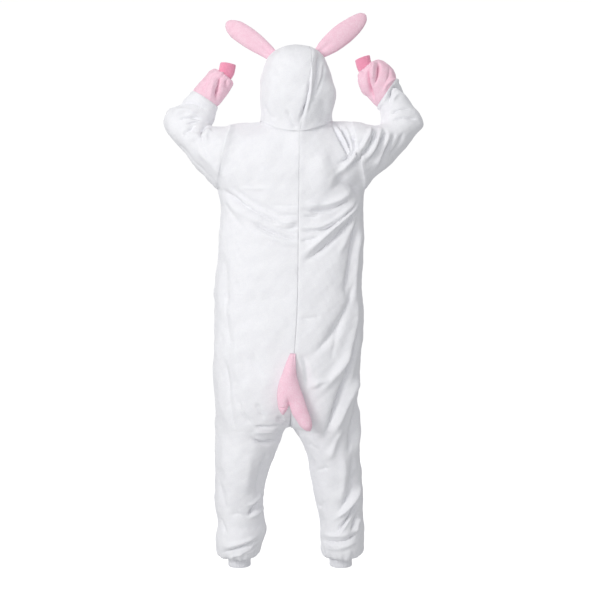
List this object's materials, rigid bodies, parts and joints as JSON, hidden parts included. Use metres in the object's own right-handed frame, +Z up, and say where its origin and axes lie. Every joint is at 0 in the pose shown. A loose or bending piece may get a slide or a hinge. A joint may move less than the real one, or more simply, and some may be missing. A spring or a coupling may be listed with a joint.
{
  "type": "plush onesie",
  "caption": "Hooded one-piece plush suit in its worn form, arms raised, with stuffed ears, rib cuffs and a forked stuffed tail.",
  "frame": {"origin": "between the shoulders at the height of the neck seam's sides, above the crotch point, where the wearer's shoulders carry the garment", "axes": "+Z up along the standing garment, +X to the wearer's right, +Y to the wearer's front"},
  "size_m": [0.8237, 0.3542, 1.7423],
  "materials": {
    "white_plush": "short pile",
    "pale_pink_plush": "short pile",
    "pink_rib": "rib knit",
    "white_rib": "rib knit",
    "white_button": "satin"
  },
  "bodies": {
    "root": {"back_left": "white_plush", "back_right": "white_plush", "front_left": "white_plush", "front_right": "white_plush", "sleeve_left": "white_plush", "sleeve_right": "white_plush", "sleeve_end_left": "pale_pink_plush", "sleeve_end_right": "pale_pink_plush", "wrist_cuff_left": "pink_rib", "wrist_cuff_right": "pink_rib", "ankle_cuff_left": "white_rib", "ankle_cuff_right": "white_rib", "hood_left": "white_plush", "hood_right": "white_plush", "ear_left_back": "pale_pink_plush", "ear_left_front": "pale_pink_plush", "ear_right_back": "pale_pink_plush", "ear_right_front": "pale_pink_plush", "tail_outer": "pale_pink_plush", "tail_under": "pale_pink_plush", "placket": "white_plush", "button_1": "white_button", "button_2": "white_button", "button_3": "white_button", "button_4": "white_button", "button_5": "white_button"}
  },
  "joints": []
}
